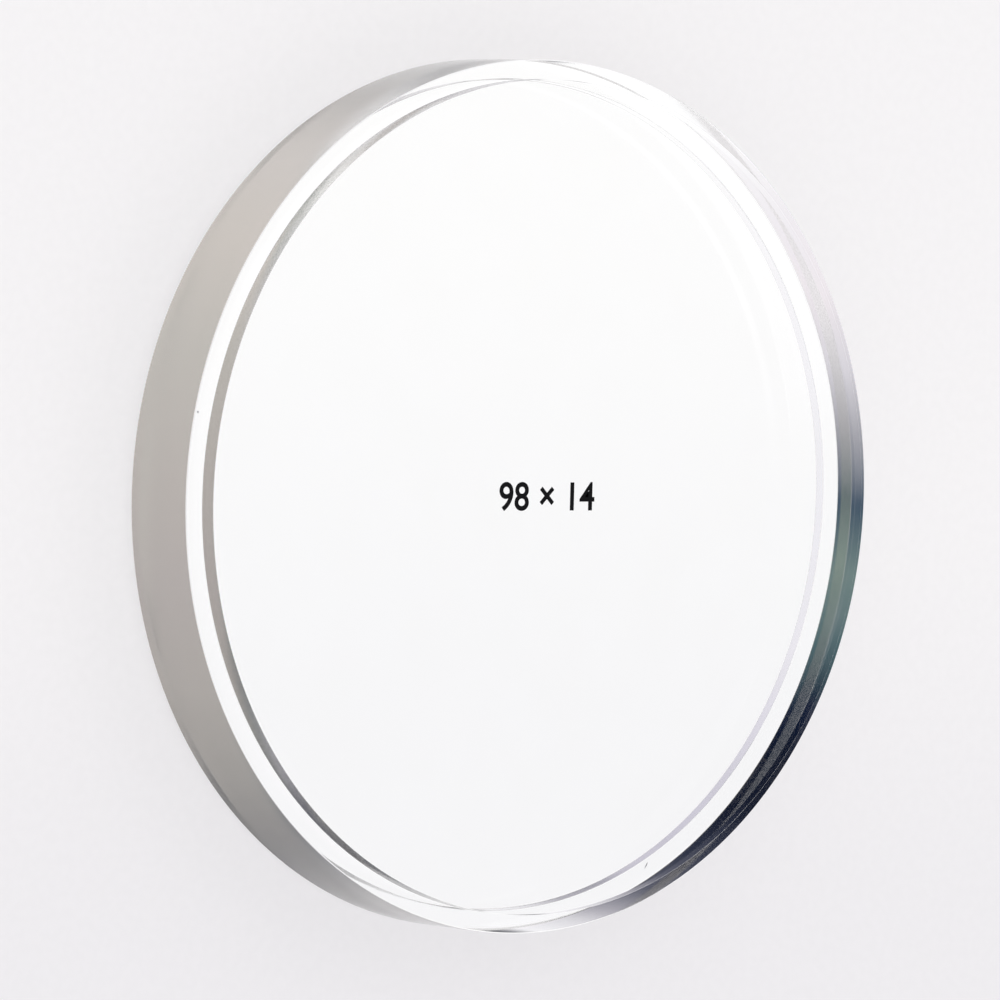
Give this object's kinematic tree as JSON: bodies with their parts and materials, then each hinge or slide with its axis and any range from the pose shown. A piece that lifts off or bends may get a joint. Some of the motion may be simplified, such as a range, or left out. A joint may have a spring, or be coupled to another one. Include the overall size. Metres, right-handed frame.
{
  "type": "dental milling block",
  "caption": "Clear plastic disc for milling dental splints, with a clamping flange round its middle and a slightly smaller raised face on each side.",
  "frame": {"origin": "centre of the back face, on which the block lies", "axes": "+Z along the disc's axis, out of the front face; +X the reading direction of the size mark on the front face; +Y its up"},
  "size_m": [0.098, 0.098, 0.014],
  "materials": {
    "clear_plastic": "clear, with polished faces and satin turned walls",
    "print_ink": "flat black print"
  },
  "bodies": {
    "root": {"milling_blank": "clear_plastic"}
  },
  "joints": []
}
